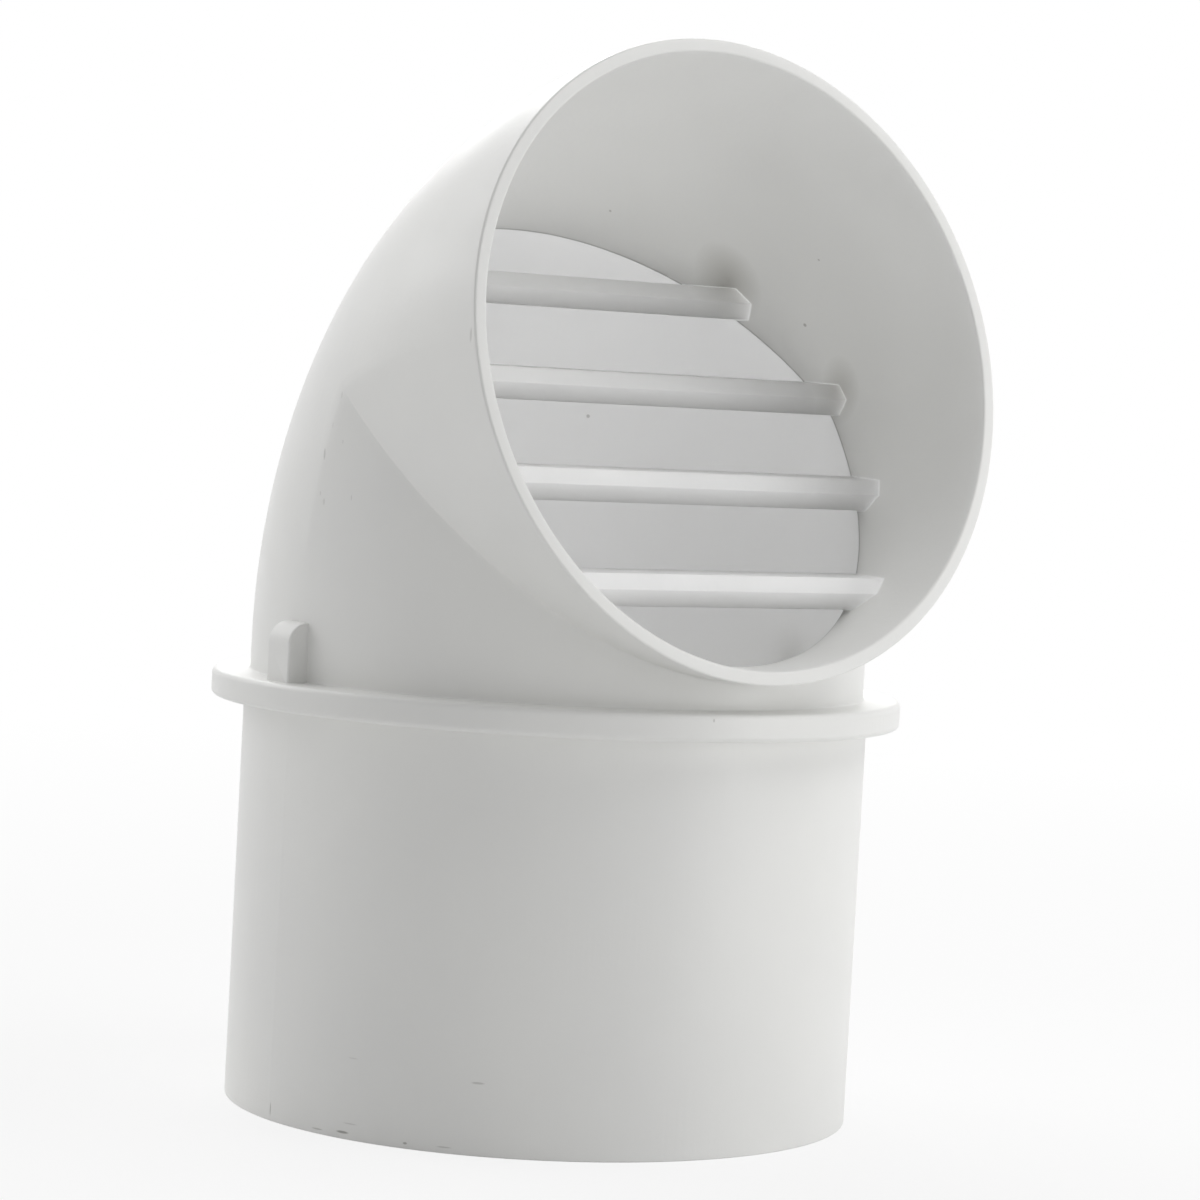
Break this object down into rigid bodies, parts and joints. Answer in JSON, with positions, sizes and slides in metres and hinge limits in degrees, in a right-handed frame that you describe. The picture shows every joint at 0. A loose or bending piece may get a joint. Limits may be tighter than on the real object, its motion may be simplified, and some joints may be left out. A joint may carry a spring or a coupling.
{
  "type": "wall vent cap",
  "caption": "White plastic wall vent cap: a round spigot with a flange bends through a right angle into a hood whose slanted round mouth is crossed by horizontal slats.",
  "frame": {"origin": "centre of the spigot's open end", "axes": "+Z along the spigot's axis toward the hood; the mouth looks toward -Y; X runs along the slats"},
  "size_m": [0.1138, 0.1155, 0.175],
  "materials": {
    "white_plastic": "satin moulded white plastic"
  },
  "bodies": {
    "root": {"vent_cap": "white_plastic"}
  },
  "joints": []
}
